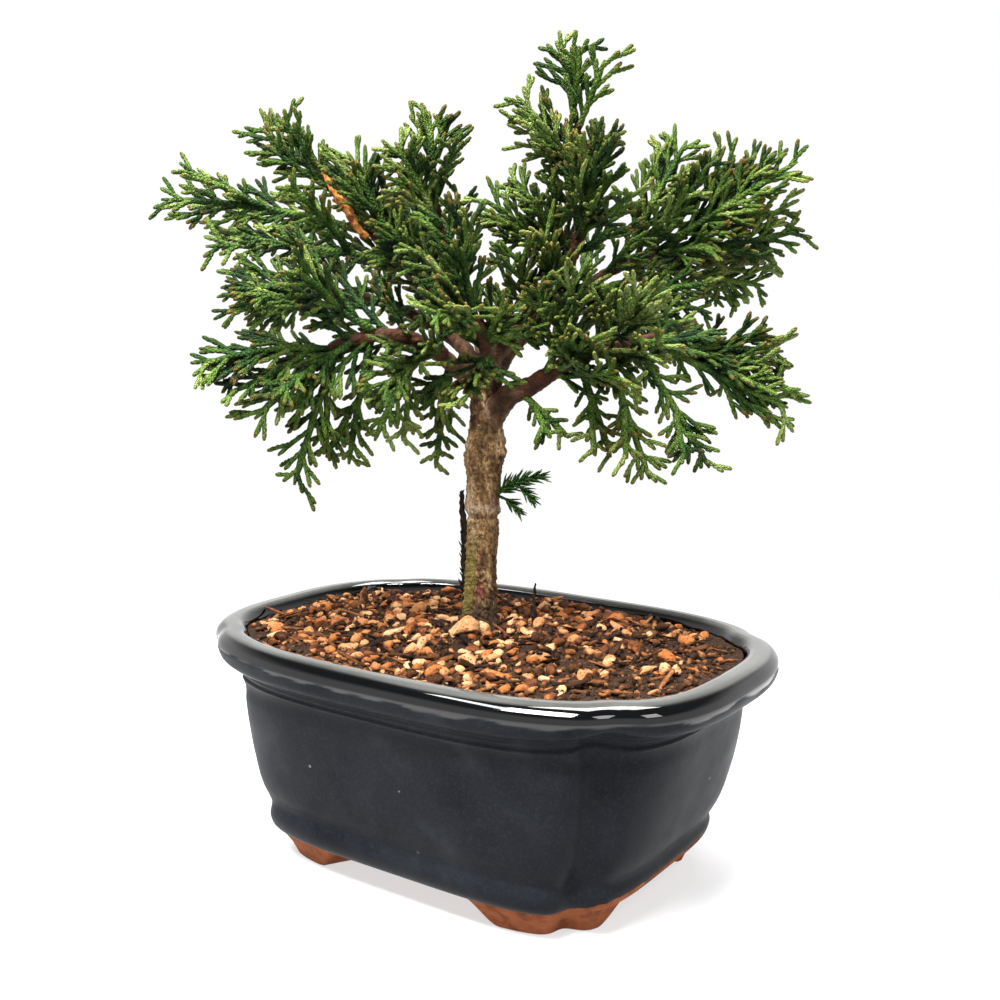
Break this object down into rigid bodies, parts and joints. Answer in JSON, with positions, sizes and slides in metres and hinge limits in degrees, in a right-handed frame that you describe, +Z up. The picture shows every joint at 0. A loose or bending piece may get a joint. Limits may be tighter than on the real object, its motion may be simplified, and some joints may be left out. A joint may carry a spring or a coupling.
{
  "type": "potted bonsai juniper",
  "caption": "Small juniper bonsai with an upright trunk and a spreading crown of scale-leaf sprays, in a footed rectangular glazed pot with dented corners",
  "frame": {"origin": "the middle of the outline seen from above, on the ground under the feet", "axes": "+Z up, +X along the pot's long side, -Y towards the pot's front"},
  "size_m": [0.1593, 0.1353, 0.2186],
  "materials": {
    "glaze": "satin blue-black glaze, glossier on the lip, bare terracotta feet",
    "soil": "rough bark chips and fine compost",
    "bark": "rough tan bark with knots and scars",
    "young_bark": "scaly red-brown bark",
    "foliage": "waxy scale leaves, satin",
    "needles": "waxy needles, satin",
    "dead_wood": "dry, matt",
    "clay": "porous baked clay, matt"
  },
  "bodies": {
    "root": {"branch_centre": "young_bark", "branch_front": "young_bark", "branch_leader": "young_bark", "branch_left_back": "young_bark", "branch_left_high": "young_bark", "branch_left_low": "young_bark", "branch_right_back": "young_bark", "branch_right_low": "young_bark", "dead_shoot": "dead_wood", "dead_twig": "dead_wood", "granule_back": "clay", "granule_front_left": "clay", "granule_front_right": "clay", "granule_large": "clay", "granule_left": "clay", "granule_right": "clay", "needle_shoot": "needles", "pot": "glaze", "soil": "soil", "soil_spike": "dead_wood", "soil_stub": "dead_wood", "spray_apex": "foliage", "spray_apex_left": "foliage", "spray_apex_right": "foliage", "spray_centre_back": "foliage", "spray_centre_face": "foliage", "spray_centre_left": "foliage", "spray_centre_rise": "foliage", "spray_centre_skirt": "foliage", "spray_far_right": "foliage", "spray_far_right_low": "foliage", "spray_left_back": "foliage", "spray_left_crest": "foliage", "spray_left_cushion": "foliage", "spray_left_drop": "foliage", "spray_left_hang": "foliage", "spray_left_high": "foliage", "spray_left_low": "foliage", "spray_left_peak": "foliage", "spray_left_reach": "foliage", "spray_middle_drop": "foliage", "spray_middle_strand": "foliage", "spray_right_back": "foliage", "spray_right_drop": "foliage", "spray_right_face": "foliage", "spray_right_face_low": "foliage", "spray_right_fill": "foliage", "spray_right_hang": "foliage", "spray_right_low": "foliage", "spray_right_middle": "foliage", "spray_right_strand": "foliage", "spray_shoulder": "foliage", "spray_shoulder_right": "foliage", "spray_top_front": "foliage", "spray_top_left": "foliage", "spray_under_branch": "foliage", "trunk": "bark"}
  },
  "joints": []
}
